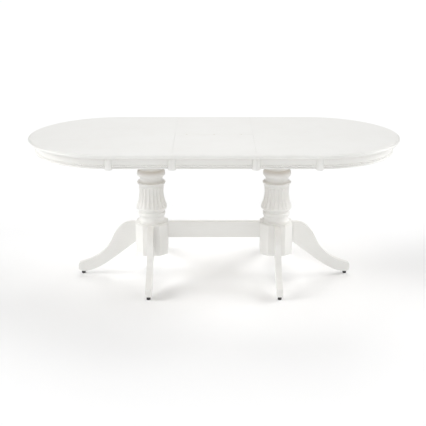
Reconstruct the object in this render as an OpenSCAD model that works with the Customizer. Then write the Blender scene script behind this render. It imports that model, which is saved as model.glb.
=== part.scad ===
// Extendable dining table: an oval top on two turned pedestals, with a folding centre leaf.
// Drawn open, with the leaf in. +X runs along the table, +Y across it and +Z up.
// The origin is on the floor, under the middle of the tabletop.

/* [Tabletop] */
// Height of the tabletop's surface above the floor
table_height = 760; // [740:5:780]
// Width of the tabletop, which is also the diameter of its round ends
table_width = 900; // [860:10:940]
// Length of the tabletop with the leaf in
open_length = 1900; // [1840:20:2000]
// Length that the leaf adds
leaf_length = 400; // [380:10:420]
// Thickness of the tabletop boards
top_thickness = 22; // [20:1:24]
// Radius of the rounded nose along the tabletop's edge
nose_radius = 8.5; // [7:0.5:9]

/* [Apron] */
// Depth of the apron under the tabletop
apron_depth = 53; // [48:1:60]
// Thickness of the apron
apron_thickness = 18; // [15:1:20]
// How far the apron's face stands in from the tabletop's edge
apron_inset = 36; // [33:1:38]
// Radius of the half-round posts over the apron's corners
corner_post_radius = 18; // [16:0.5:20]
// Radius of the split posts over the leaf joints
joint_post_radius = 20; // [18:0.5:22]

/* [Pedestals] */
// Distance from the table's middle to each pedestal's axis
pedestal_x = 328; // [315:1:345]
// Width across the flats of the octagonal block that holds the legs
block_width = 167; // [160:1:175]
// Height of the block's lower face above the floor
block_bottom = 125; // [120:1:130]
// Height of the block's upper face above the floor
block_top = 296; // [292:1:300]
// Thickness of the legs
leg_thickness = 30; // [28:1:34]
// Thickness of the stretcher between the pedestals
stretcher_thickness = 30; // [24:1:34]

/* [Motion] */
// Radius of the pins in the leaf's hinges
hinge_pin_radius = 1.2; // [1.1:0.1:1.3]
// Swing of each leaf latch from open to locked, in degrees
latch_swing = 60; // [55:1:65]

/* [Hidden] */
$fn = 64;
eps = 0.01;

// Colours
lacquer = "ivory";
bare_wood = "burlywood";
steel = "silver";
brass = "goldenrod";
black_plastic = "dimgray";

// Tabletop
end_radius = table_width / 2;
end_centre = open_length / 2 - end_radius;
half_leaf = leaf_length / 2;
under_top = table_height - top_thickness;
meeting_gap = 0.2;   // each top half stops this far short of the joint's centre line
leaf_end_gap = 0.2;  // and each end of the leaf does too
flat_radius = end_radius - 12;
nose_centre = [end_radius - nose_radius, table_height - nose_radius - 1.5];

// Apron
apron_bottom = under_top - apron_depth;
apron_face = end_radius - apron_inset;
apron_back = apron_face - apron_thickness;
lip_radius = 3.8;
bead_radius = 3.2;
bead_height = apron_bottom + 14.8;
groove_radius = 1.5;
post_reach = apron_face + 15;
post_bottom = apron_bottom - 4;
corner_post_x = end_centre + 2;

// Column: the vase's hollow side is an arc about a point outside it
vase_centre = [236.7, 457];
vase_radius = 173.4;
column_top = 638;
column_bore = 5.5;

// Base framing
plate_width = 180;
plate_top = column_top + 12;
bearer_width = 60;
bearer_reach = 235;
bearer_top = plate_top + 44;
rail_inner = 150;
rail_width = 40;
rail_reach = 560;
rail_top = under_top - 0.3;
groove_height = 14;
groove_depth = 12;
groove_bottom = bearer_top + 14;

// Block and its bolts
block_chamfer = 40;
block_shoulder = 6;
cavity_width = 95;
cavity_top = block_top - 26;
bolt_radius = 4;
bolt_heights = [222, 258];
bolt_inner = 36;
bolt_outer = 150;

// Legs
glide_centre = 373;
toe_reach = 396;     // from the pedestal's axis to the tip of the toe
toe_top_radius = 12;
toe_sole_radius = 16;
sole_height = 15;
glide_radius = 10;
nail_radius = 1.6;

// Stretcher
stretcher_bottom = 206;
stretcher_top = 291;

// Runners
runner_clearance = 0.4;
runner_inner = rail_inner + rail_width + runner_clearance;
runner_width = 34;
runner_ends = [215, 800];
runner_bottom = bearer_top + 6;
tongue_play = 0.3;
runner_screw_xs = [240, 420, 600, 780];
stop_pin_x = 270;
stop_pin_radius = 6;

// Alignment pins between the top halves and the leaf
alignment_ys = [100, 300];
alignment_radius = 4;
alignment_reach = 12;
alignment_height = table_height - top_thickness / 2;

// Leaf hinges
hinge_xs = [-140, 0, 140];
hinge_inset = 3.3;
hinge_drop = 3;
hinge_height = table_height - hinge_drop;
leaf_gap = hinge_inset - hinge_drop;
hinge_half_width = 5;
ear_radius = 2;
link_radius = 2;
link_half_width = 1.5;
hinge_pocket_depth = 14;
hinge_screw_y = 9.7;
link_slot_reach = hinge_inset + link_radius + 0.4;

// Leaf latches
latch_y = 260;
latch_pivot_x = half_leaf + 60;
latch_length = 80;
latch_thickness = 3;
latch_top = under_top - 3;
catch_radius = 3;
pivot_radius = 3;

// ---------- Helpers ----------

function bezier(a, b, c, d, steps = 10) = [
    for (i = [0 : steps])
        let (t = i / steps, s = 1 - t)
            s * s * s * a + 3 * s * s * t * b + 3 * s * t * t * c + t * t * t * d
];

function arc(centre, radius, from, to, steps = 10) = [
    for (i = [0 : steps])
        let (angle = from + (to - from) * i / steps)
            centre + radius * [cos(angle), sin(angle)]
];

// Sweeps a profile drawn as (distance from the middle, height) round the left end
module left_end(skip = 0) {
    translate([-end_centre, 0, 0])
        rotate([0, 0, 90 + skip])
            rotate_extrude(angle = 180 - 2 * skip, $fn = 180)
                children();
}

// Runs the same profile along X from x0 to x1, at the back
module back_run(x0, x1) {
    translate([x0, 0, 0])
        rotate([90, 0, 90])
            linear_extrude(x1 - x0)
                children();
}

module front_run(x0, x1) {
    mirror([0, 1, 0]) back_run(x0, x1) children();
}

module half_turn() {
    rotate([0, 0, 180]) children();
}

module at_left_pedestal() {
    translate([-pedestal_x, 0, 0]) children();
}

module hex_nut(bolt, across, height) {
    difference() {
        cylinder(r = across / sqrt(3), h = height, $fn = 6);
        translate([0, 0, -1]) cylinder(r = bolt + 0.05, h = height + 2);
    }
}

module washer(bolt, radius, height) {
    difference() {
        cylinder(r = radius, h = height);
        translate([0, 0, -1]) cylinder(r = bolt + 0.05, h = height + 2);
    }
}

// A screw pointing up from the origin, with its head below
module wood_screw(radius, length, head_radius, head_height, clearance = 0) {
    cylinder(r = radius + clearance, h = length + clearance);
    translate([0, 0, -head_height - clearance])
        cylinder(r = head_radius + clearance, h = head_height + clearance + eps);
}

// ---------- Pedestals ----------

// The turned outline: foot cove, torus, vase, collar, neck, capital torus and shank
module column_outline() {
    polygon(concat(
        [[0, block_top], [76, block_top], [76, block_top + 5]],
        arc([84, 317], 19, 235, 180),
        arc([58, 338], 13.8, -60, 60),
        [[66, 354]],
        arc([68.5, 373], 11.8, -70, 25),
        arc(vase_centre, vase_radius, 205, 169.5, 14),
        [[66, 492], [66, 500]],
        arc([67.3, 507], 7, -75, 75),
        arc([78, 526], 19, 218, 150),
        arc([53, 557], 21, -62, 62),
        [[60, 579], [60, column_top], [0, column_top]]
    ));
}

module column() {
    at_left_pedestal()
        difference() {
            rotate_extrude($fn = 96) column_outline();
            translate([0, 0, block_top - 1])
                cylinder(r = column_bore, h = column_top - block_top + 2);
        }
}

module column_left() {
    color(lacquer) column();
}

module column_right() {
    color(lacquer) half_turn() column();
}

module octagon() {
    half = block_width / 2;
    corner = half - block_chamfer;
    polygon([
        [half, -corner], [half, corner], [corner, half], [-corner, half],
        [-half, corner], [-half, -corner], [-corner, -half], [corner, -half]
    ]);
}

// Directions from a left pedestal's axis: outer leg, front leg, back leg, stretcher
leg_angles = [180, 270, 90];
stretcher_angle = 0;

// The octagonal prism with its top arris chamfered
module octagonal_block() {
    shoulder_height = block_top - block_shoulder;
    translate([0, 0, block_bottom])
        linear_extrude(shoulder_height - block_bottom) octagon();
    translate([0, 0, shoulder_height])
        linear_extrude(block_shoulder, scale = 1 - 2 * block_shoulder / block_width) octagon();
}

module block() {
    at_left_pedestal()
        difference() {
            octagonal_block();
            translate([-cavity_width / 2, -cavity_width / 2, block_bottom - 1])
                cube([cavity_width, cavity_width, cavity_top - block_bottom + 1]);
            cylinder(r = column_bore, h = block_top + 1);
            for (angle = concat(leg_angles, [stretcher_angle]), z = bolt_heights)
                rotate([0, 0, angle])
                    translate([cavity_width / 2 - 1, 0, z])
                        rotate([0, 90, 0])
                            cylinder(r = bolt_radius + 0.3, h = block_width / 2 - cavity_width / 2 + 2);
        }
}

module block_left() {
    color(lacquer) block();
}

module block_right() {
    color(lacquer) half_turn() block();
}

// Side view of a leg, as (distance from the pedestal's axis, height)
module leg_outline() {
    face = block_width / 2;
    polygon(concat(
        bezier([face, block_top - block_shoulder], [145, 297], [186, 262], [212, 200], 12),
        bezier([212, 200], [240, 133], [300, 86], [toe_reach - toe_top_radius - 1, 63], 12),
        arc([toe_reach - toe_top_radius, 51], toe_top_radius, 80, 0, 5),
        arc([toe_reach - toe_sole_radius, sole_height + toe_sole_radius], toe_sole_radius, 0, -90, 6),
        bezier([362, sole_height], [312, 18], [250, 58], [180, 112], 12),
        bezier([180, 112], [150, 134], [118, 160], [face, 186], 6)
    ));
}

module leg(angle) {
    at_left_pedestal()
        rotate([0, 0, angle])
            difference() {
                translate([0, leg_thickness / 2, 0])
                    rotate([90, 0, 0])
                        linear_extrude(leg_thickness) leg_outline();
                for (z = bolt_heights)
                    translate([block_width / 2 - 1, 0, z])
                        rotate([0, 90, 0])
                            cylinder(r = bolt_radius + 0.1, h = bolt_outer - block_width / 2 + 3);
                translate([glide_centre, 0, sole_height - 1])
                    cylinder(r = nail_radius + 0.1, h = 20);
            }
}

module leg_left_outer() {
    color(lacquer) leg(leg_angles[0]);
}

module leg_left_front() {
    color(lacquer) leg(leg_angles[1]);
}

module leg_left_back() {
    color(lacquer) leg(leg_angles[2]);
}

module leg_right_outer() {
    color(lacquer) half_turn() leg(leg_angles[0]);
}

module leg_right_front() {
    color(lacquer) half_turn() leg(leg_angles[2]);
}

module leg_right_back() {
    color(lacquer) half_turn() leg(leg_angles[1]);
}

module stretcher() {
    reach = pedestal_x - block_width / 2;
    color(lacquer)
        difference() {
            translate([-reach, -stretcher_thickness / 2, stretcher_bottom])
                cube([2 * reach, stretcher_thickness, stretcher_top - stretcher_bottom]);
            for (side = [0, 180], z = bolt_heights)
                rotate([0, 0, side])
                    translate([reach + 1, 0, z])
                        rotate([0, -90, 0])
                            cylinder(r = bolt_radius + 0.1, h = bolt_outer - block_width / 2 + 3);
        }
}

// A nail-in glide: a rounded foot with a chamfered top, and the nail in the leg
module glide() {
    rotate_extrude()
        polygon(concat(
            [[0, 0]],
            arc([glide_radius - 1.5, 1.5], 1.5, -90, 0, 4),
            [[glide_radius, sole_height - 2], [glide_radius - 2, sole_height]],
            [[nail_radius, sole_height]],
            [[nail_radius, sole_height + 17], [0, sole_height + 19]]
        ));
}

module floor_glides() {
    color(black_plastic)
        for (side = [0, 180], angle = leg_angles)
            rotate([0, 0, side])
                at_left_pedestal()
                    rotate([0, 0, angle])
                        translate([glide_centre, 0, 0]) glide();
}

// ---------- Base framing ----------

plate_screw_places = [for (x = [-18, 18], y = [-70, 70]) [x, y]];
rail_screw_places = [for (x = [-15, 15], y = [-1, 1]) [x, y * (rail_inner + rail_width / 2)]];
base_screw_radius = 2.5;
base_head_radius = 5;

// The screws from the plate up into the bearer, and from the rails down into it
module screws_of_one_bearer(clearance = 0) {
    for (place = plate_screw_places)
        translate([place[0], place[1], column_top + 4])
            wood_screw(base_screw_radius, 40, base_head_radius, 3, clearance);
    for (place = rail_screw_places)
        translate([place[0], place[1], rail_top - 6])
            rotate([180, 0, 0])
                wood_screw(base_screw_radius, 64, base_head_radius, 3, clearance);
}

module top_plate() {
    at_left_pedestal()
        difference() {
            translate([-plate_width / 2, -plate_width / 2, column_top])
                cube([plate_width, plate_width, plate_top - column_top]);
            translate([0, 0, column_top - 1])
                cylinder(r = column_bore, h = plate_top - column_top + 2);
            screws_of_one_bearer(0.1);
            for (place = plate_screw_places)
                translate([place[0], place[1], column_top - 1])
                    cylinder(r = base_head_radius + 0.1, h = 2.5);
        }
}

module top_plate_left() {
    color(bare_wood) top_plate();
}

module top_plate_right() {
    color(bare_wood) half_turn() top_plate();
}

// A cross bearer with tapered ends
module bearer() {
    at_left_pedestal()
        difference() {
            translate([-bearer_width / 2, 0, 0])
                rotate([90, 0, 90])
                    linear_extrude(bearer_width)
                        polygon([
                            [-bearer_reach, bearer_top], [-bearer_reach, bearer_top - 24],
                            [-110, plate_top], [110, plate_top],
                            [bearer_reach, bearer_top - 24], [bearer_reach, bearer_top]
                        ]);
            translate([0, 0, plate_top - 1])
                cylinder(r = column_bore, h = bearer_top - plate_top + 2);
            screws_of_one_bearer(0.1);
        }
}

module bearer_left() {
    color(bare_wood) bearer();
}

module bearer_right() {
    color(bare_wood) half_turn() bearer();
}

// A fixed rail with a groove along its outer face, in which the runners slide
module rail() {
    difference() {
        translate([-rail_reach, rail_inner, bearer_top])
            cube([2 * rail_reach, rail_width, rail_top - bearer_top]);
        translate([-rail_reach - 1, rail_inner + rail_width - groove_depth, groove_bottom])
            cube([2 * rail_reach + 2, groove_depth + 1, groove_height]);
        for (side = [0, 180])
            rotate([0, 0, side])
                at_left_pedestal() {
                    screws_of_one_bearer(0.1);
                    for (place = rail_screw_places)
                        translate([place[0], place[1], rail_top - 6])
                            cylinder(r = base_head_radius + 0.1, h = 10);
                }
    }
}

module rail_front() {
    color(bare_wood) half_turn() rail();
}

module rail_back() {
    color(bare_wood) rail();
}

// One threaded rod clamps block, column, plate and bearer together
module tie_rods() {
    rod_radius = 5;
    color(steel)
        for (side = [0, 180])
            rotate([0, 0, side])
                at_left_pedestal() {
                    translate([0, 0, cavity_top - 16])
                        cylinder(r = rod_radius, h = bearer_top + 16 - cavity_top + 16);
                    translate([0, 0, cavity_top - 2]) washer(rod_radius, 15, 2);
                    translate([0, 0, cavity_top - 10]) hex_nut(rod_radius, 16, 8);
                    translate([0, 0, bearer_top]) washer(rod_radius, 15, 2);
                    translate([0, 0, bearer_top + 2]) hex_nut(rod_radius, 16, 8);
                }
}

module leg_bolts() {
    color(steel)
        for (side = [0, 180], angle = concat(leg_angles, [stretcher_angle]), z = bolt_heights)
            rotate([0, 0, side])
                at_left_pedestal()
                    rotate([0, 0, angle])
                        translate([bolt_inner, 0, z])
                            rotate([0, 90, 0]) {
                                cylinder(r = bolt_radius, h = bolt_outer - bolt_inner);
                                translate([0, 0, cavity_width / 2 - bolt_inner - 2])
                                    washer(bolt_radius, 8, 2);
                                translate([0, 0, cavity_width / 2 - bolt_inner - 9])
                                    hex_nut(bolt_radius, 13, 7);
                            }
}

module base_screws() {
    color(steel)
        for (side = [0, 180])
            rotate([0, 0, side])
                at_left_pedestal() screws_of_one_bearer();
}

// ---------- Tabletop halves ----------

// Half of the tabletop's section: flat top, a small step and a rounded nose
module top_profile() {
    translate([0, under_top]) square([flat_radius, top_thickness]);
    translate([0, nose_centre[1] - nose_radius])
        square([nose_centre[0], 2 * nose_radius]);
    translate(nose_centre) circle(r = nose_radius);
}

module alignment_holes(radius, x) {
    for (y = alignment_ys, side = [-1, 1])
        translate([x, side * y, alignment_height])
            rotate([0, 90, 0])
                cylinder(r = radius, h = 2 * alignment_reach + 2, center = true);
}

// The screws that hold the left runners up to the tabletop
module runner_screws(clearance = 0) {
    for (x = runner_screw_xs, side = [-1, 1])
        translate([-x, side * (runner_inner + runner_width / 2), runner_bottom + 8])
            wood_screw(2.2, under_top + 12 - runner_bottom - 8, 4.2, 3, clearance);
}

// The left latch's pivot screw, and the catch pin that the right latch holds when closed
module latch_pins(clearance = 0) {
    translate([-latch_pivot_x, -latch_y, 0]) {
        translate([0, 0, latch_top - latch_thickness - 2.9])
            cylinder(r = 6 + clearance, h = 2.8);
        translate([0, 0, latch_top - latch_thickness - 1])
            cylinder(r = pivot_radius, h = latch_thickness + 1.1);
        translate([0, 0, latch_top + 0.1])
            cylinder(r = 5, h = under_top - latch_top - 0.1);
        translate([0, 0, under_top - eps]) cylinder(r = 2.5 + clearance, h = 13 + clearance);
    }
    translate([-half_leaf - 20, latch_y, 0]) catch_pin(clearance);
}

module catch_pin(clearance = 0) {
    translate([0, 0, latch_top - latch_thickness - 4])
        cylinder(r = catch_radius + clearance, h = under_top + 9 + clearance - latch_top + 7);
}

module tabletop(pin_clearance) {
    difference() {
        union() {
            left_end() top_profile();
            back_run(-end_centre, -half_leaf - meeting_gap) {
                top_profile();
                mirror([1, 0]) top_profile();
            }
        }
        alignment_holes(alignment_radius + pin_clearance, -half_leaf);
        runner_screws(0.1);
        latch_pins(0.1);
    }
}

module tabletop_left() {
    color(lacquer) tabletop(0.05);
}

module tabletop_right() {
    color(lacquer) half_turn() tabletop(0.3);
}

// Section of the apron: a board with a rounded lower lip and a groove on each side of the bead
module apron_profile() {
    groove_heights = [apron_bottom + 2 * lip_radius + groove_radius, bead_height + 5.6];
    difference() {
        union() {
            translate([apron_back, apron_bottom]) square([apron_thickness, apron_depth]);
            translate([apron_face, apron_bottom + lip_radius]) circle(r = lip_radius, $fn = 32);
        }
        for (z = groove_heights)
            translate([apron_face + 0.3, z]) circle(r = groove_radius, $fn = 32);
    }
}

module bead_profile() {
    difference() {
        translate([apron_face, bead_height]) circle(r = bead_radius, $fn = 32);
        translate([apron_back, bead_height - bead_radius - 1])
            square([apron_thickness, 2 * bead_radius + 2]);
    }
}

module end_apron() {
    left_end() apron_profile();
}

module straight_apron() {
    back_run(-end_centre, -half_leaf - meeting_gap) apron_profile();
}

module end_apron_left() {
    color(lacquer) end_apron();
}

module end_apron_right() {
    color(lacquer) half_turn() end_apron();
}

module front_apron_left() {
    color(lacquer) mirror([0, 1, 0]) straight_apron();
}

module back_apron_left() {
    color(lacquer) straight_apron();
}

module front_apron_right() {
    color(lacquer) mirror([1, 0, 0]) mirror([0, 1, 0]) straight_apron();
}

module back_apron_right() {
    color(lacquer) mirror([1, 0, 0]) straight_apron();
}

// The applied bead round one end and along both straight aprons, between the posts
module bead_trim() {
    corner_inner = corner_post_x - corner_post_radius - 0.5;
    skip = asin((corner_post_x + corner_post_radius + 0.5 - end_centre) / apron_face);
    joint_outer = half_leaf + joint_post_radius + 0.5;
    left_end(skip) bead_profile();
    back_run(-corner_inner, -joint_outer) bead_profile();
    front_run(-corner_inner, -joint_outer) bead_profile();
}

module bead_trim_left() {
    color(lacquer) bead_trim();
}

module bead_trim_right() {
    color(lacquer) half_turn() bead_trim();
}

// A half-round post standing on the apron's face at the back
module post(x, radius) {
    intersection() {
        translate([x, post_reach - radius, post_bottom])
            cylinder(r = radius, h = under_top - post_bottom);
        translate([x - radius - 1, apron_face, post_bottom - 1])
            cube([2 * radius + 2, 2 * radius, under_top - post_bottom + 2]);
    }
}

module posts() {
    for (side = [0, 1])
        mirror([0, side, 0]) {
            difference() {
                post(-corner_post_x, corner_post_radius);
                end_apron();
                straight_apron();
            }
            difference() {
                post(-half_leaf, joint_post_radius);
                straight_apron();
                translate([-half_leaf - meeting_gap, 0, 0])
                    cube([half_leaf, end_radius, table_height]);
            }
        }
}

module posts_left() {
    color(lacquer) posts();
}

module posts_right() {
    color(lacquer) half_turn() posts();
}

// Blocks glued in the corner between the apron and the tabletop
module glue_blocks() {
    block_size = [40, 20, 26];
    for (x = [-end_centre + 60, -half_leaf - 100], side = [0, 1])
        mirror([0, side, 0])
            translate([x - block_size[0] / 2, apron_back - block_size[1], under_top - block_size[2]])
                cube(block_size);
    for (angle = [-60, -20, 20, 60])
        translate([-end_centre, 0, 0])
            rotate([0, 0, 180 + angle])
                translate([apron_back - 0.8 - block_size[1], -block_size[0] / 2, under_top - block_size[2]])
                    cube([block_size[1], block_size[0], block_size[2]]);
}

module glue_blocks_left() {
    color(bare_wood) glue_blocks();
}

module glue_blocks_right() {
    color(bare_wood) half_turn() glue_blocks();
}

// A runner screwed under the tabletop, with a tongue in the fixed rail's groove
module runner() {
    difference() {
        union() {
            translate([-runner_ends[1], runner_inner, runner_bottom])
                cube([runner_ends[1] - runner_ends[0], runner_width, under_top - runner_bottom]);
            translate([-runner_ends[1], runner_inner - groove_depth + 1, groove_bottom + tongue_play])
                cube([runner_ends[1] - runner_ends[0], groove_depth, groove_height - 2 * tongue_play]);
        }
        runner_screws(0.1);
        for (x = runner_screw_xs)
            translate([-x, runner_inner + runner_width / 2, runner_bottom - 1])
                cylinder(r = 4.3, h = 8);
        stop_pins(0.1);
    }
}

// Stop pins under the runners that meet the bearers before the runners leave the rails
module stop_pins(clearance = 0) {
    for (side = [-1, 1])
        translate([-stop_pin_x, side * (runner_inner + runner_width / 2), bearer_top - 14])
            cylinder(r = stop_pin_radius + clearance, h = 40 + clearance);
}

module runner_left_front() {
    color(bare_wood) mirror([0, 1, 0]) runner();
}

module runner_left_back() {
    color(bare_wood) runner();
}

module runner_right_front() {
    color(bare_wood) half_turn() runner();
}

module runner_right_back() {
    color(bare_wood) mirror([1, 0, 0]) runner();
}

module runner_screws_left() {
    color(steel) runner_screws();
}

module runner_screws_right() {
    color(steel) half_turn() runner_screws();
}

// Alignment pins in a joint face at x, pointing towards +X
module alignment_pins(x, sides) {
    for (y = alignment_ys, side = sides)
        translate([x - alignment_reach, side * y, alignment_height])
            rotate([0, 90, 0])
                cylinder(r = alignment_radius, h = 2 * alignment_reach - 1);
}

module tabletop_pins_left() {
    color(steel) {
        alignment_pins(-half_leaf, [-1, 1]);
        stop_pins();
    }
}

module tabletop_pins_right() {
    color(steel) half_turn() stop_pins();
}

module latch_pins_left() {
    color(steel) latch_pins();
}

module latch_pins_right() {
    color(steel) half_turn() latch_pins();
}

// A flat hook that swings under the joint and takes the catch pin in its side notch
module latch() {
    arm_width = 20;
    translate([-latch_pivot_x, -latch_y, latch_top - latch_thickness])
        rotate([0, 0, -latch_swing])
            linear_extrude(latch_thickness)
                difference() {
                    union() {
                        circle(r = arm_width / 2);
                        translate([0, -arm_width / 2]) square([latch_length, arm_width]);
                        translate([latch_length, 0]) circle(r = arm_width / 2);
                        translate([latch_length * 0.4, -26]) square([16, 20]);
                    }
                    circle(r = pivot_radius + 0.05);
                    translate([latch_length, 0]) circle(r = catch_radius + 0.4);
                    translate([latch_length - catch_radius - 0.4, 0])
                        square([2 * catch_radius + 0.8, arm_width]);
                }
}

module latch_left() {
    color(steel) latch();
}

module latch_right() {
    color(steel) half_turn() latch();
}

// ---------- Leaf ----------

leaf_reach = half_leaf - leaf_end_gap;

// Half of the leaf's section, rounded about the hinge pin at its inner edge
module leaf_profile() {
    difference() {
        top_profile();
        translate([-1, under_top - 1]) square([leaf_gap + 1, top_thickness + 2]);
        difference() {
            translate([0, hinge_height]) square([hinge_inset, hinge_drop + 1]);
            translate([hinge_inset, hinge_height]) circle(r = hinge_drop);
        }
    }
}

// Goes up from the leaf's underside into a hinge plate
module hinge_screw(clearance = 0) {
    translate([0, hinge_screw_y, under_top + 2.8])
        wood_screw(1.5, hinge_height - under_top - 3.4, 2.8, 1.6, clearance);
}

// The back half of the leaf; the front half is its mirror image
module leaf_board(catch_x) {
    difference() {
        back_run(-leaf_reach, leaf_reach) leaf_profile();
        for (x = hinge_xs)
            translate([x, 0, 0]) {
                translate([-hinge_half_width - 0.2, -1, hinge_height - 4.2])
                    cube([2 * hinge_half_width + 0.4, hinge_pocket_depth + 1, 4.4 + ear_radius]);
                translate([-link_half_width - 0.4, -1, hinge_height])
                    cube([2 * link_half_width + 0.8, link_slot_reach + 1, hinge_drop + 1]);
                hinge_screw(0.1);
                translate([0, hinge_screw_y, under_top - 1])
                    cylinder(r = 2.9, h = 4);
            }
        alignment_holes(alignment_radius + 0.3, -half_leaf);
        alignment_holes(alignment_radius + 0.05, half_leaf);
        translate([catch_x, latch_y, 0]) catch_pin(0.1);
    }
}

module leaf_back() {
    color(lacquer) leaf_board(half_leaf - 20);
}

module leaf_front() {
    color(lacquer) mirror([0, 1, 0]) leaf_board(20 - half_leaf);
}

module leaf_apron() {
    back_run(-leaf_reach, leaf_reach) apron_profile();
}

module leaf_apron_back() {
    color(lacquer) leaf_apron();
}

module leaf_apron_front() {
    color(lacquer) mirror([0, 1, 0]) leaf_apron();
}

module leaf_trim() {
    reach = half_leaf - joint_post_radius - 0.5;
    back_run(-reach, reach) bead_profile();
}

module leaf_trim_back() {
    color(lacquer) leaf_trim();
}

module leaf_trim_front() {
    color(lacquer) mirror([0, 1, 0]) leaf_trim();
}

module leaf_posts() {
    for (side = [0, 1])
        mirror([side, 0, 0])
            difference() {
                post(half_leaf, joint_post_radius);
                leaf_apron();
                translate([leaf_reach, 0, 0]) cube([half_leaf, end_radius, table_height]);
            }
}

module leaf_posts_back() {
    color(lacquer) leaf_posts();
}

module leaf_posts_front() {
    color(lacquer) mirror([0, 1, 0]) leaf_posts();
}

module leaf_pins_back() {
    color(steel) {
        alignment_pins(half_leaf, [1]);
        translate([half_leaf - 20, latch_y, 0]) catch_pin();
    }
}

module leaf_pins_front() {
    color(steel) {
        alignment_pins(half_leaf, [-1]);
        translate([20 - half_leaf, -latch_y, 0]) catch_pin();
    }
}

// Brass plates let into the leaf's inner edge, with two ears round the hinge pin
module hinge_plate() {
    ear_gap = link_half_width + 0.5;
    ear_length = hinge_half_width - ear_gap;
    translate([0, 0, hinge_height])
        difference() {
            union() {
                translate([-hinge_half_width, link_slot_reach, -4])
                    cube([2 * hinge_half_width, 8, 4]);
                for (side = [0, 1])
                    mirror([side, 0, 0])
                        translate([ear_gap, hinge_inset, 0]) {
                            rotate([0, 90, 0]) cylinder(r = ear_radius, h = ear_length, $fn = 32);
                            translate([0, 0, -ear_radius]) cube([ear_length, 4, ear_radius * 2 - 1]);
                        }
            }
            translate([0, hinge_inset, 0])
                rotate([0, 90, 0])
                    cylinder(r = hinge_pin_radius + 0.05, h = 3 * hinge_half_width, center = true, $fn = 32);
        }
}

module hinge_plates() {
    for (x = hinge_xs)
        translate([x, 0, 0]) {
            difference() {
                hinge_plate();
                hinge_screw(0.1);
            }
            hinge_screw();
        }
}

module leaf_hinge_plates_back() {
    color(brass) hinge_plates();
}

module leaf_hinge_plates_front() {
    color(brass) mirror([0, 1, 0]) hinge_plates();
}

// A short link with a pin at each end joins the two halves of the leaf
module leaf_hinge_links() {
    color(brass)
        for (x = hinge_xs)
            translate([x, 0, hinge_height])
                rotate([0, 90, 0]) {
                    translate([0, 0, -link_half_width])
                        linear_extrude(2 * link_half_width) {
                            for (side = [-1, 1])
                                translate([0, side * hinge_inset]) circle(r = link_radius, $fn = 32);
                            translate([-link_radius, -hinge_inset])
                                square([2 * link_radius, 2 * hinge_inset]);
                        }
                    for (side = [-1, 1])
                        translate([0, side * hinge_inset, 0])
                            cylinder(r = hinge_pin_radius, h = 2 * hinge_half_width - 0.4, center = true, $fn = 32);
                }
}

// ---------- Assembly ----------

column_left();
column_right();
block_left();
block_right();
leg_left_outer();
leg_left_front();
leg_left_back();
leg_right_outer();
leg_right_front();
leg_right_back();
stretcher();
floor_glides();
top_plate_left();
top_plate_right();
bearer_left();
bearer_right();
rail_front();
rail_back();
tie_rods();
leg_bolts();
base_screws();
tabletop_left();
end_apron_left();
front_apron_left();
back_apron_left();
bead_trim_left();
posts_left();
glue_blocks_left();
runner_left_front();
runner_left_back();
runner_screws_left();
tabletop_pins_left();
latch_pins_left();
tabletop_right();
end_apron_right();
front_apron_right();
back_apron_right();
bead_trim_right();
posts_right();
glue_blocks_right();
runner_right_front();
runner_right_back();
runner_screws_right();
tabletop_pins_right();
latch_pins_right();
leaf_hinge_links();
leaf_front();
leaf_apron_front();
leaf_trim_front();
leaf_posts_front();
leaf_pins_front();
leaf_hinge_plates_front();
leaf_back();
leaf_apron_back();
leaf_trim_back();
leaf_posts_back();
leaf_pins_back();
leaf_hinge_plates_back();
latch_left();
latch_right();
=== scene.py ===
# An extendable dining table in ivory lacquer: two turned and fluted pedestals, three curved legs on
# each, a low stretcher, and an oval top in two sliding halves with a folding leaf between them.
# Metres, +Z up, with the floor at z = 0 and the middle of the tabletop over the origin.
import math

import bmesh
import bpy
from mathutils import Matrix, Vector


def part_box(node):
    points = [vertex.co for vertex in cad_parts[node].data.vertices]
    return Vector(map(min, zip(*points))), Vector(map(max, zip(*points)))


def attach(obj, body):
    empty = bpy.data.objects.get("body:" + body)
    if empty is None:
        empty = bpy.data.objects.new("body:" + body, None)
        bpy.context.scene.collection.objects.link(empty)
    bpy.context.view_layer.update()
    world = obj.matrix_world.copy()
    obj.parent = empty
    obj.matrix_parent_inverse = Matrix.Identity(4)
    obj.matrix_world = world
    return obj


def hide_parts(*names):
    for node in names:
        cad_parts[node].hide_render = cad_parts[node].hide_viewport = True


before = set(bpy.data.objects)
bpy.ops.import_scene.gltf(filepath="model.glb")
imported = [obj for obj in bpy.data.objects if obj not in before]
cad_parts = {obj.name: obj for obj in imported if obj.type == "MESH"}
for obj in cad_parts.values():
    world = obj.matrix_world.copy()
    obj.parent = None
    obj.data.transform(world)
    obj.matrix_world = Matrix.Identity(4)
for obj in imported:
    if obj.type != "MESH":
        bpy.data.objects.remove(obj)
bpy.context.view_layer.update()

# ---- Camera ----
# A standing viewer in front of the table, a little above the top, with a short telephoto lens.

view_distance = 4.686
view_height = 1.817
view_down = math.radians(17.54)
camera_data = bpy.data.cameras.new("viewer")
camera_data.lens = 78.7
camera_data.sensor_width = 36
camera = bpy.data.objects.new("viewer", camera_data)
camera.location = (-0.0055, -view_distance, view_height)
camera.rotation_euler = (math.pi / 2 - view_down, 0, 0)
bpy.context.scene.collection.objects.link(camera)
bpy.context.scene.camera = camera

# ---- Legs ----
# Six legs sawn from thick board to an S-curve, with their arrises rounded over before the ivory
# lacquer is sprayed. Each is bolted to its block from inside.


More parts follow.
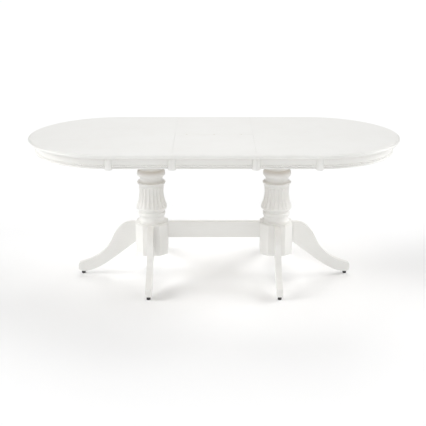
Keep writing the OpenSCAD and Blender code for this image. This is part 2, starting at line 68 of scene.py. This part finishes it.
class Reading:
    """A value that varies over a surface, so that shader arithmetic reads as plain Python."""

    def __init__(self, finish, socket):
        self.finish = finish
        self.socket = socket

    def maths(self, operation, first, second):
        return self.finish.node("ShaderNodeMath", {"operation": operation}, {0: first, 1: second})

    def __add__(self, other):
        return self.maths("ADD", self, other)

    def __mul__(self, other):
        return self.maths("MULTIPLY", self, other)

    def __radd__(self, other):
        return self.maths("ADD", other, self)

    def __rmul__(self, other):
        return self.maths("MULTIPLY", other, self)


class Finish:
    """A material on one Principled shader, built up by naming nodes and what feeds them."""

    def __init__(self, name, **constants):
        self.material = bpy.data.materials.new(name)
        self.material.use_nodes = True
        self.nodes = self.material.node_tree.nodes
        self.links = self.material.node_tree.links
        self.shader = self.nodes["Principled BSDF"]
        for socket, value in constants.items():
            self.shader.inputs[socket.replace("_", " ")].default_value = value

    def feed(self, socket, value):
        if isinstance(value, Reading):
            self.links.new(value.socket, socket)
        else:
            socket.default_value = value

    def node(self, kind, settings=None, inputs=None, output=0):
        """Adds one node: its settings first, then the values or links of its sockets."""
        node = self.nodes.new(kind)
        for name, value in (settings or {}).items():
            if name == "stops":
                self.set_stops(node.color_ramp, value)
            else:
                setattr(node, name, value)
        for key, value in (inputs or {}).items():
            self.feed(node.inputs[key], value)
        return Reading(self, node.outputs[output])

    def set_stops(self, ramp, stops):
        while len(ramp.elements) < len(stops):
            ramp.elements.new(0.5)
        for element, (position, colour) in zip(ramp.elements, stops):
            element.position = position
            element.color = (*colour, 1)

    def place(self, scale):
        here = self.node("ShaderNodeTexCoord", output="Object")
        return self.node("ShaderNodeMapping", None, {"Vector": here, "Scale": scale})

    def noise(self, where, scale, detail=3.0, roughness=0.5):
        return self.node(
            "ShaderNodeTexNoise", None,
            {"Vector": where, "Scale": scale, "Detail": detail, "Roughness": roughness},
        )

    def blend(self, factor, first, second):
        """A mix of two colours, whose sockets on the Mix node are numbers 6 and 7, and 2 for the result."""
        return self.node(
            "ShaderNodeMix", {"data_type": "RGBA"},
            {"Factor": factor, 6: (*first, 1), 7: (*second, 1)}, output=2,
        )

    def ramp(self, where, stops):
        return self.node("ShaderNodeValToRGB", {"stops": stops}, {"Fac": where})

    def set(self, **inputs):
        """Links readings to the Principled shader's inputs, named with _ for a space."""
        for name, value in inputs.items():
            self.links.new(value.socket, self.shader.inputs[name.replace("_", " ")])

    def bump(self, height, strength, depth):
        normal = self.node(
            "ShaderNodeBump", None, {"Height": height, "Strength": strength, "Distance": depth}
        )
        self.links.new(normal.socket, self.shader.inputs["Normal"])


def ivory_lacquer(name, grain):
    """Satin ivory lacquer over hardwood whose pores run along grain, a scale that is low on one axis."""
    finish = Finish(name, IOR=1.5, Coat_Weight=0.12, Coat_Roughness=0.22)
    along = finish.place(grain)
    still = finish.place((1, 1, 1))
    mottle = finish.noise(still, 4.5, 4.0, 0.6)
    streaks = finish.noise(along, 9.0, 5.0, 0.65)
    peel = finish.noise(still, 320.0, 2.0, 0.5)
    tint = finish.ramp(
        mottle * 0.55 + streaks * 0.45,
        [(0.25, (0.805, 0.795, 0.765)), (0.55, (0.84, 0.835, 0.81)), (0.8, (0.86, 0.857, 0.84))],
    )
    finish.set(Base_Color=tint, Roughness=0.27 + streaks * 0.12 + peel * 0.06)
    finish.bump(streaks * 0.7 + peel * 0.3, 0.35, 0.00035)
    return finish.material


lacquer_x = ivory_lacquer("ivory_lacquer_along", (3, 40, 40))
lacquer_y = ivory_lacquer("ivory_lacquer_across", (40, 3, 40))
lacquer_z = ivory_lacquer("ivory_lacquer_upright", (40, 40, 3))


def alone(piece):
    """Makes piece the only selected object, and the active one."""
    bpy.ops.object.select_all(action="DESELECT")
    piece.select_set(True)
    bpy.context.view_layer.objects.active = piece


merge_distance = 0.00001
flat_within = math.radians(0.4)


def merged(node, material):
    """A copy of a node with its triangles merged into whole faces, selected and active."""
    piece = bpy.data.objects.new(node + "_finished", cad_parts[node].data.copy())
    bpy.context.scene.collection.objects.link(piece)
    piece.data.materials.clear()
    piece.data.materials.append(material)
    alone(piece)
    bpy.ops.object.mode_set(mode="EDIT")
    bpy.ops.mesh.select_all(action="SELECT")
    bpy.ops.mesh.remove_doubles(threshold=merge_distance)
    bpy.ops.mesh.dissolve_limited(angle_limit=flat_within)
    bpy.ops.object.mode_set(mode="OBJECT")
    return piece


def lacquered(piece, node, body, crease):
    """Smooths a piece's curves, keeps its wide faces flat, and puts it in the node's place."""
    alone(piece)
    bpy.ops.object.shade_smooth_by_angle(angle=math.radians(crease))
    weighting = piece.modifiers.new("weighting", "WEIGHTED_NORMAL")
    weighting.keep_sharp = True
    bpy.ops.object.modifier_apply(modifier=weighting.name)
    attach(piece, body)
    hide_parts(node)


def softened(node, body, material, arris, segments=3, crease=30):
    """Lacquers a copy of a node with every arris rounded over by the same amount."""
    piece = merged(node, material)
    round_over = piece.modifiers.new("round_over", "BEVEL")
    round_over.width = arris
    round_over.segments = segments
    round_over.limit_method = "ANGLE"
    round_over.angle_limit = math.radians(crease)
    bpy.ops.object.modifier_apply(modifier=round_over.name)
    lacquered(piece, node, body, crease)


def rounded_leg(node, material, cheek, run, joint):
    """Rounds over the long arrises beside a leg's two cheeks, but not those at its joint face.

    cheek is the axis across the leg, run the axis along it and joint the joint face's place on it.
    """
    piece = merged(node, material)
    bpy.ops.object.mode_set(mode="EDIT")
    bpy.ops.mesh.select_mode(type="EDGE")
    bpy.ops.mesh.select_all(action="DESELECT")
    mesh = bmesh.from_edit_mesh(piece.data)
    for edge in mesh.edges:
        cheeks = [face for face in edge.link_faces if abs(face.normal[cheek]) > 0.99]
        at_joint = all(abs(vert.co[run] - joint) < 0.0005 for vert in edge.verts)
        edge.select_set(len(cheeks) == 1 and not at_joint)
    bmesh.update_edit_mesh(piece.data)
    bpy.ops.mesh.bevel(offset=leg_arris, segments=5, affect="EDGES", clamp_overlap=True)
    bpy.ops.object.mode_set(mode="OBJECT")
    lacquered(piece, node, "base", 40)


leg_arris = 0.0075
for side in ("left", "right"):
    block_low, block_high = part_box(f"block_{side}")
    outer_face = block_low.x if side == "left" else block_high.x
    rounded_leg(f"leg_{side}_outer", lacquer_x, 1, 0, outer_face)
    rounded_leg(f"leg_{side}_front", lacquer_y, 0, 1, block_low.y)
    rounded_leg(f"leg_{side}_back", lacquer_y, 0, 1, block_high.y)

# ---- Glides ----
# Six black moulded glides nailed under the toes, so that the lacquer stays off the floor.


def moulded_plastic():
    finish = Finish("black_moulded_plastic", IOR=1.46)
    still = finish.place((1, 1, 1))
    sparkle = finish.noise(still, 900.0, 2.0, 0.6)
    scuffs = finish.noise(still, 60.0, 4.0, 0.7)
    finish.set(
        Base_Color=finish.blend(scuffs, (0.02, 0.02, 0.021), (0.07, 0.069, 0.066)),
        Roughness=0.38 + scuffs * 0.25,
    )
    finish.bump(sparkle, 0.3, 0.0002)
    return finish.material


def dress(node, material):
    """Puts a material on a node whose shape stays as it is."""
    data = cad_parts[node].data
    data.materials.clear()
    data.materials.append(material)


dress("floor_glides", moulded_plastic())

# ---- Blocks ----
# An octagonal block at the foot of each column, hollow from below so that the leg bolts' nuts
# can be reached.

for side in ("left", "right"):
    softened(f"block_{side}", "base", lacquer_z, 0.002, segments=2)

# ---- Stretcher ----
# One straight board on edge that keeps the two pedestals apart.

softened("stretcher", "base", lacquer_x, 0.003)

# ---- Columns ----
# Turned in one piece from the foot cove to the shank, with twenty round-ended flutes worked down
# the hollow side of the vase. Each stands on its block and is clamped there by the tie rod.

flute_count = 20
cuts_per_flute = 12
turning_steps = flute_count * cuts_per_flute
flute_cutter = 0.0095
flute_offset = 0.0045
flute_low = 0.383
flute_high = 0.480
shank_radius = 0.060


def arc(centre, radius, start, end, steps):
    """Points on a circle from one angle to another, in degrees, as (radius, height)."""
    turns = [math.radians(start + (end - start) * i / steps) for i in range(steps + 1)]
    return [(centre[0] + radius * math.cos(t), centre[1] + radius * math.sin(t)) for t in turns]


def column_outline(foot, top):
    """The turned outline from the foot on its block to the top of the shank."""
    foot_radius = 0.076
    neck_radius = 0.066
    return [
        (0, foot),
        (foot_radius, foot),
        (foot_radius, foot + 0.005),
        *arc((0.084, 0.317), 0.019, 235, 180, 10),  # cove over the foot
        *arc((0.058, 0.338), 0.0138, -60, 60, 14),  # lower torus
        (neck_radius, 0.354),
        *arc((0.0685, 0.373), 0.0118, -70, 25, 14),  # bulge that the flutes start from
        *arc((0.2367, 0.457), 0.1734, 205, 169.5, 44),  # hollow side of the vase
        (neck_radius, 0.492),
        (neck_radius, 0.500),
        *arc((0.0673, 0.507), 0.007, -75, 75, 8),  # collar
        *arc((0.078, 0.526), 0.019, 218, 150, 10),  # cove of the neck
        *arc((0.053, 0.557), 0.021, -62, 62, 16),  # capital
        (shank_radius, 0.579),
        (shank_radius, top),
        (0, top),
    ]


def turn_on_lathe(name, outline, steps):
    """Draws an outline by extruding a point along it, and spins it into a closed turning."""
    bpy.ops.object.select_all(action="DESELECT")
    bpy.ops.mesh.primitive_plane_add()
    piece = bpy.context.object
    piece.name = name
    bpy.ops.object.mode_set(mode="EDIT")
    bpy.ops.mesh.select_mode(type="VERT")
    bpy.ops.mesh.select_all(action="SELECT")
    bpy.ops.mesh.merge(type="CENTER")
    bpy.ops.transform.translate(value=(outline[0][0], 0, outline[0][1]))
    for (r0, z0), (r1, z1) in zip(outline, outline[1:]):
        bpy.ops.mesh.extrude_region_move(TRANSFORM_OT_translate={"value": (r1 - r0, 0, z1 - z0)})
    bpy.ops.mesh.select_all(action="SELECT")
    bpy.ops.mesh.spin(steps=steps, angle=2 * math.pi, center=(0, 0, 0), axis=(0, 0, 1))
    bpy.ops.mesh.select_all(action="SELECT")
    bpy.ops.mesh.remove_doubles(threshold=merge_distance)
    bpy.ops.mesh.normals_make_consistent(inside=False)
    bpy.ops.object.mode_set(mode="OBJECT")
    return piece


def flute_depth(across, height):
    """How deep a round cutter goes at a place beside the flute's middle and along its length."""
    beyond = max(0, flute_low - height, height - flute_high)
    reach = flute_cutter ** 2 - across ** 2 - beyond ** 2
    return math.sqrt(reach) - flute_offset if reach > flute_offset ** 2 else 0


def cut_flutes(piece):
    """Draws each ring of the vase in towards the axis, one pair of lines of every flute at a time."""
    step = 2 * math.pi / turning_steps
    bpy.ops.object.mode_set(mode="EDIT")
    bpy.ops.mesh.select_mode(type="VERT")
    mesh = bmesh.from_edit_mesh(piece.data)
    rings = {}
    for vert in mesh.verts:
        radius = math.hypot(vert.co.x, vert.co.y)
        line = round(math.atan2(vert.co.y, vert.co.x) / step) % cuts_per_flute
        line = min(line, cuts_per_flute - line)
        depth = flute_depth(radius * line * step, vert.co.z)
        if depth > 0 and radius > shank_radius:
            rings.setdefault((round(vert.co.z, 6), line), (radius, depth, []))[2].append(vert)
    for radius, depth, verts in rings.values():
        bpy.ops.mesh.select_all(action="DESELECT")
        for vert in verts:
            vert.select = True
        bmesh.update_edit_mesh(piece.data, loop_triangles=False, destructive=False)
        inward = (radius - depth) / radius
        bpy.ops.transform.resize(value=(inward, inward, 1), center_override=(0, 0, verts[0].co.z))
    bpy.ops.object.mode_set(mode="OBJECT")


block_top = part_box("block_left")[1].z
column_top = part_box("top_plate_left")[0].z
column = turn_on_lathe("column_turning", column_outline(block_top, column_top), turning_steps)
cut_flutes(column)
column.data.materials.append(lacquer_z)
alone(column)
bpy.ops.object.shade_smooth_by_angle(angle=math.radians(28))
for side in ("left", "right"):
    low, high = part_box(f"column_{side}")
    fluted = column.copy()
    fluted.data = column.data.copy()
    fluted.name = f"column_{side}_fluted"
    fluted.data.transform(Matrix.Translation(((low.x + high.x) / 2, 0, 0)))
    bpy.context.scene.collection.objects.link(fluted)
    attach(fluted, "base")
    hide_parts(f"column_{side}")
bpy.data.objects.remove(column)

# ---- Framing under the top ----
# Top plates, tapered cross bearers, the two fixed rails, the sliding runners and the glue blocks:
# planed beech, left bare because it is out of sight.


def bare_beech(name, grain):
    finish = Finish(name, IOR=1.5)
    along = finish.place(grain)
    still = finish.place((1, 1, 1))
    growth = finish.noise(along, 5.0, 6.0, 0.6)
    flecks = finish.noise(along, 42.0, 3.0, 0.7)
    fibres = finish.noise(still, 240.0, 2.0, 0.5)
    tone = finish.ramp(
        growth * 0.7 + flecks * 0.3,
        [(0.3, (0.60, 0.48, 0.36)), (0.5, (0.69, 0.57, 0.45)), (0.72, (0.77, 0.66, 0.54))],
    )
    finish.set(Base_Color=tone, Roughness=0.52 + flecks * 0.2)
    finish.bump(flecks * 0.6 + fibres * 0.4, 0.5, 0.0005)
    return finish.material


beech_x = bare_beech("beech_along", (3, 30, 30))
beech_y = bare_beech("beech_across", (30, 3, 30))
for side in ("left", "right"):
    dress(f"top_plate_{side}", beech_y)
    dress(f"bearer_{side}", beech_y)
    dress(f"runner_{side}_front", beech_x)
    dress(f"runner_{side}_back", beech_x)
    dress(f"glue_blocks_{side}", beech_y)
dress("rail_front", beech_x)
dress("rail_back", beech_x)

# ---- Steel fixings ----
# Zinc-plated tie rods, leg bolts, screws, alignment and stop pins, and the leaf latches.


def zinc_plate():
    finish = Finish("zinc_plated_steel", Metallic=1.0)
    still = finish.place((1, 1, 1))
    spangle = finish.noise(still, 140.0, 4.0, 0.65)
    lines = finish.noise(finish.place((60, 60, 900)), 3.0, 2.0, 0.5)
    finish.set(
        Base_Color=finish.blend(spangle, (0.46, 0.47, 0.48), (0.72, 0.72, 0.70)),
        Roughness=0.26 + spangle * 0.22,
    )
    finish.bump(lines, 0.2, 0.0001)
    return finish.material


zinc = zinc_plate()
for node in ("tie_rods", "leg_bolts", "base_screws", "leaf_pins_front", "leaf_pins_back"):
    dress(node, zinc)
for side in ("left", "right"):
    for group in ("latch", "runner_screws", "tabletop_pins", "latch_pins"):
        dress(f"{group}_{side}", zinc)

# ---- Leaf hinges ----
# Three brass links with a pin at each end, between plates let into the leaf's inner edges and
# screwed from below.


def satin_brass():
    finish = Finish("satin_brass", Metallic=1.0)
    still = finish.place((1, 1, 1))
    tarnish = finish.noise(still, 80.0, 5.0, 0.7)
    finish.set(
        Base_Color=finish.blend(tarnish, (0.47, 0.39, 0.24), (0.66, 0.57, 0.38)),
        Roughness=0.38 + tarnish * 0.2,
    )
    finish.bump(tarnish, 0.15, 0.0001)
    return finish.material


brass = satin_brass()
for node in ("leaf_hinge_links", "leaf_hinge_plates_front", "leaf_hinge_plates_back"):
    dress(node, brass)

# ---- Tabletop ----
# Two half-oval boards and the two halves of the leaf, with a small step and a rounded nose worked
# along the edge. The arrises at the joints are just broken, which draws the joint lines.

joint_arris = 0.0018
top_halves = [(side, f"top_half_{side}") for side in ("left", "right")]
leaf_halves = [(side, f"leaf_half_{side}") for side in ("front", "back")]
for side, body in top_halves:
    softened(f"tabletop_{side}", body, lacquer_x, joint_arris, segments=2, crease=25)
for side, body in leaf_halves:
    softened(f"leaf_{side}", body, lacquer_x, joint_arris, segments=2, crease=25)

# ---- Aprons and posts ----
# Laminated round the ends and straight along the sides, with a lip along the lower edge. The
# half-round posts cover the joints; those over the leaf joints are split in two.

apron_arris = 0.0008
post_arris = 0.0006
for side, body in top_halves:
    softened(f"end_apron_{side}", body, lacquer_z, apron_arris, segments=2, crease=25)
    softened(f"front_apron_{side}", body, lacquer_x, apron_arris, segments=2, crease=25)
    softened(f"back_apron_{side}", body, lacquer_x, apron_arris, segments=2, crease=25)
    softened(f"posts_{side}", body, lacquer_z, post_arris, segments=2, crease=40)
for side, body in leaf_halves:
    softened(f"leaf_apron_{side}", body, lacquer_x, apron_arris, segments=2, crease=25)
    softened(f"leaf_posts_{side}", body, lacquer_z, post_arris, segments=2, crease=40)

# ---- Bead trim ----
# A row of turned pearls on a thin fillet, pinned along the apron above its lip, round both ends
# and along both sides between the posts.

pearl_pitch = 0.010
pearl_radius = 0.0042
fillet_radius = 0.0018
trim_reach = 0.0032
corner_post_width = 0.0355
half_joint_post_width = 0.0192
post_gap = 0.0005


def pearls_at(points):
    """Copies one pearl to every point."""
    bpy.ops.object.select_all(action="DESELECT")
    bpy.ops.mesh.primitive_ico_sphere_add(subdivisions=2, radius=pearl_radius)
    pearl = bpy.context.object
    bpy.ops.object.shade_smooth()
    pearls = []
    for point in points:
        copy = pearl.copy()
        copy.data = pearl.data.copy()
        copy.data.transform(Matrix.Translation(point))
        bpy.context.scene.collection.objects.link(copy)
        pearls.append(copy)
    bpy.data.objects.remove(pearl)
    return pearls


def fillet_along(points):
    """A thin round strip behind the pearls, swept along the same points."""
    data = bpy.data.curves.new("fillet", "CURVE")
    data.dimensions = "3D"
    data.bevel_depth = fillet_radius
    data.bevel_resolution = 2
    data.use_fill_caps = True
    line = data.splines.new("POLY")
    line.points.add(len(points) - 1)
    for place, point in zip(line.points, points):
        place.co = (*point, 1)
    strip = bpy.data.objects.new("fillet", data)
    bpy.context.scene.collection.objects.link(strip)
    alone(strip)
    bpy.ops.object.convert(target="MESH")
    bpy.ops.object.shade_smooth()
    return bpy.context.object


def spaced(length):
    """Distances along a run that hold whole pearls at an even pitch, centred on it."""
    count = int((length - 2 * pearl_radius) / pearl_pitch) + 1
    margin = (length - (count - 1) * pearl_pitch) / 2
    return [margin + i * pearl_pitch for i in range(count)]


def straight_run(x0, x1, y, z):
    """Pearls' places along a side of the table."""
    return [Vector((x0 + d, y, z)) for d in spaced(x1 - x0)]


def round_run(centre_x, radius, skip, z, facing):
    """Pearls' places round one end, less the angle that a corner post covers at each side."""
    sweep = math.pi - 2 * skip
    turns = [skip + d / radius for d in spaced(sweep * radius)]
    return [Vector((centre_x + facing * radius * math.sin(t), radius * math.cos(t), z)) for t in turns]


def bead_row(node, body, runs):
    """Joins the pearls and fillets of every run into one piece in the node's place."""
    pieces = []
    for run in runs:
        pieces += pearls_at(run)
        pieces.append(fillet_along(run))
    bpy.ops.object.select_all(action="DESELECT")
    for piece in pieces:
        piece.select_set(True)
    bpy.context.view_layer.objects.active = pieces[0]
    bpy.ops.object.join()
    row = bpy.context.object
    row.name = node + "_pearls"
    row.data.materials.clear()
    row.data.materials.append(lacquer_z)
    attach(row, body)
    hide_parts(node)


trim_low, trim_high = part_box("bead_trim_left")
bead_height = (trim_low.z + trim_high.z) / 2
apron_face = trim_high.y - trim_reach
end_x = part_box("end_apron_left")[1].x
corner_low, corner_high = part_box("posts_left")
corner_inner = corner_low.x + corner_post_width + post_gap
joint_outer = corner_high.x - half_joint_post_width - post_gap
corner_skip = math.asin((end_x - corner_low.x + post_gap) / apron_face)
for side, body in top_halves:
    facing = -1 if side == "left" else 1
    near, far = sorted((facing * -corner_inner, facing * -joint_outer))
    runs = [round_run(facing * -end_x, apron_face, corner_skip, bead_height, facing)]
    for y in (-apron_face, apron_face):
        runs.append(straight_run(near, far, y, bead_height))
    bead_row(f"bead_trim_{side}", body, runs)
leaf_low, leaf_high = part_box("leaf_trim_back")
for side, body in leaf_halves:
    y = -apron_face if side == "front" else apron_face
    bead_row(f"leaf_trim_{side}", body, [straight_run(leaf_low.x, leaf_high.x, y, bead_height)])

# ---- Floor and light ----
# A plain white floor in a dim room, lit by five very broad lights: the brightest low on the left,
# two on the right, one behind that brightens the top and the floor, and a weak one in front.


def pale_floor():
    finish = Finish("pale_floor", Specular_IOR_Level=0.1)
    cloud = finish.noise(finish.place((1, 1, 1)), 1.5, 3.0, 0.5)
    finish.set(
        Base_Color=finish.blend(cloud, (0.95, 0.95, 0.95), (0.97, 0.97, 0.97)),
        Roughness=0.7 + cloud * 0.1,
    )
    return finish.material


bpy.ops.object.select_all(action="DESELECT")
bpy.ops.mesh.primitive_plane_add(size=60)
floor = bpy.context.object
floor.name = "floor"
floor.data.materials.append(pale_floor())

world = bpy.data.worlds.new("dim_room")
world.use_nodes = True
world.node_tree.nodes["Background"].inputs["Color"].default_value = (1, 1, 1, 1)
world.node_tree.nodes["Background"].inputs["Strength"].default_value = 0.09
bpy.context.scene.world = world
bpy.context.scene.view_settings.view_transform = "Standard"


light_spread = math.radians(40)


def broad_light(name, round_to_left, above, strength):
    """A soft distant light, placed by its angles in degrees from the front and above the floor."""
    data = bpy.data.lights.new(name, "SUN")
    data.angle = light_spread
    data.energy = strength
    light = bpy.data.objects.new(name, data)
    turn = math.radians(round_to_left)
    rise = math.radians(above)
    towards = Vector((-math.sin(turn) * math.cos(rise), -math.cos(turn) * math.cos(rise), math.sin(rise)))
    light.rotation_euler = towards.to_track_quat("Z", "Y").to_euler()
    bpy.context.scene.collection.objects.link(light)


broad_light("key_left", 85, 28, 2.2)
broad_light("side_right", -108, 25, 1.95)
broad_light("fill_right", -60, 30, 0.7)
broad_light("behind", 180, 40, 1.0)
broad_light("front", 10, 22, 0.78)
